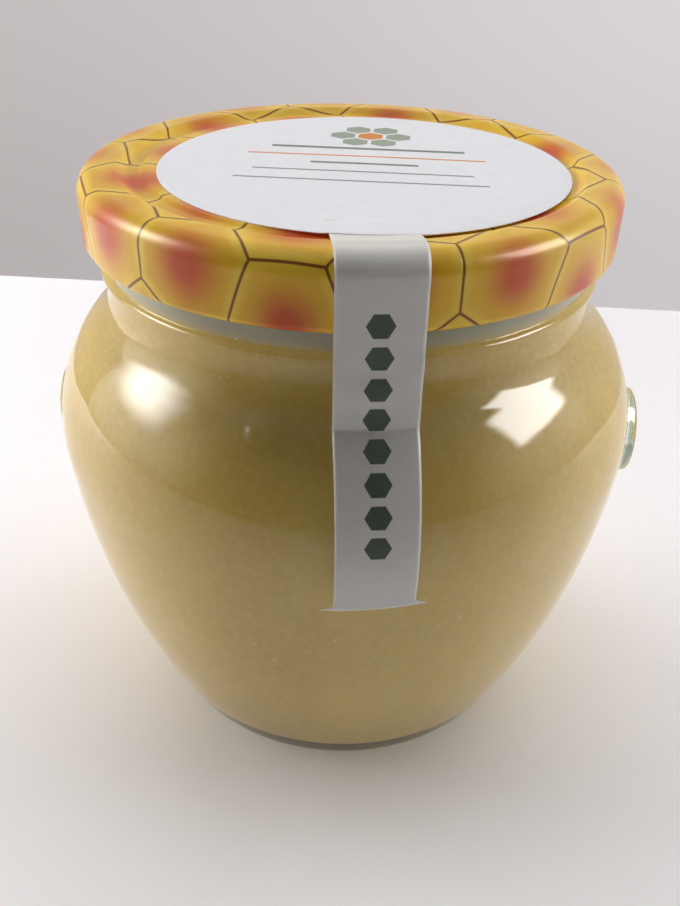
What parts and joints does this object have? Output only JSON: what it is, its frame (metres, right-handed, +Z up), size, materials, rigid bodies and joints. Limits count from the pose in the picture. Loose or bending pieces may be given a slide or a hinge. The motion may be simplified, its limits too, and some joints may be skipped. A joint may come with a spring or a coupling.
{
  "type": "honey jar",
  "caption": "Pot-bellied glass jar of set honey with two round medallions, a printed twist-off lid, a round lid label and a paper seal strip.",
  "frame": {"origin": "on the jar's axis, at the plane that its base ring stands on", "axes": "+Z up along the jar's axis, +X and -X through the two round medallions, -Y the side of the seal strip"},
  "size_m": [0.0972, 0.0941, 0.0933],
  "materials": {
    "glass": "clear moulded glass",
    "honey": "set cream honey, opaque",
    "lid_tin": "glossy printed lacquer",
    "label_paper": "smooth coated paper",
    "strip_paper": "smooth coated paper"
  },
  "bodies": {
    "root": {"jar_glass": "glass", "honey": "honey", "lid": "lid_tin", "lid_label": "label_paper", "seal_strip": "strip_paper"}
  },
  "joints": []
}
